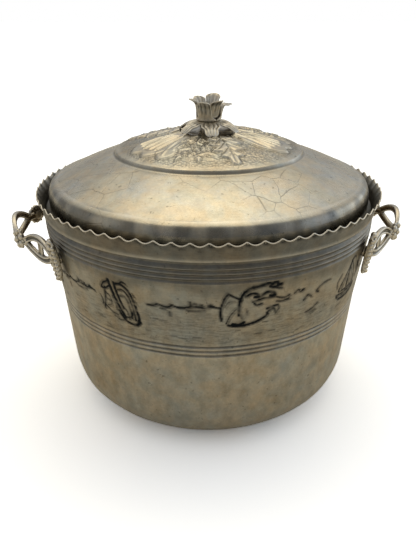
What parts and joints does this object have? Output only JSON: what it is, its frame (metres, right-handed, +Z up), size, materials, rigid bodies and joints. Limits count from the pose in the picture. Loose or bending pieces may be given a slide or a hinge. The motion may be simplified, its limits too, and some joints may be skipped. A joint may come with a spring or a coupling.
{
  "type": "covered serving bowl",
  "caption": "Round hand-wrought metal serving bowl with a scalloped flared rim, engraved band, openwork side handles and a lift-off domed lid with a tulip finial.",
  "frame": {"origin": "centre of the flat base, on the surface the bowl stands on", "axes": "+Z up through the bowl's axis, handles on the X axis, front of the engraved band towards -Y"},
  "size_m": [0.272, 0.2298, 0.204],
  "materials": {
    "bowl_metal": "spun and hammered aluminium, aged to a warm mottled grey, engraved lines dark",
    "lid_metal": "spun aluminium, worn satin, finely scratched, embossed centre",
    "finial_metal": "pressed sheet, bright on the ridges and dark in the flutes",
    "handle_metal": "cast, bright on the ridges and brown in the hollows",
    "screw_metal": "plain steel",
    "rivet_metal": "soft aluminium, set by hand"
  },
  "bodies": {
    "bowl": {"bowl_shell": "bowl_metal", "left_handle": "handle_metal", "right_handle": "handle_metal", "left_front_rivet": "rivet_metal", "left_back_rivet": "rivet_metal", "right_front_rivet": "rivet_metal", "right_back_rivet": "rivet_metal"},
    "lid": {"lid_shell": "lid_metal", "finial_stem": "finial_metal", "finial_leaves": "finial_metal", "finial_outer_petals": "finial_metal", "finial_inner_petals": "finial_metal", "finial_screw": "screw_metal", "finial_washer": "screw_metal", "finial_nut": "screw_metal"}
  },
  "joints": [
    {"name": "lid_lift", "type": "slide", "parent": "bowl", "child": "lid", "axis": [0, 0, 1], "range_m": [0, 0.12]}
  ]
}
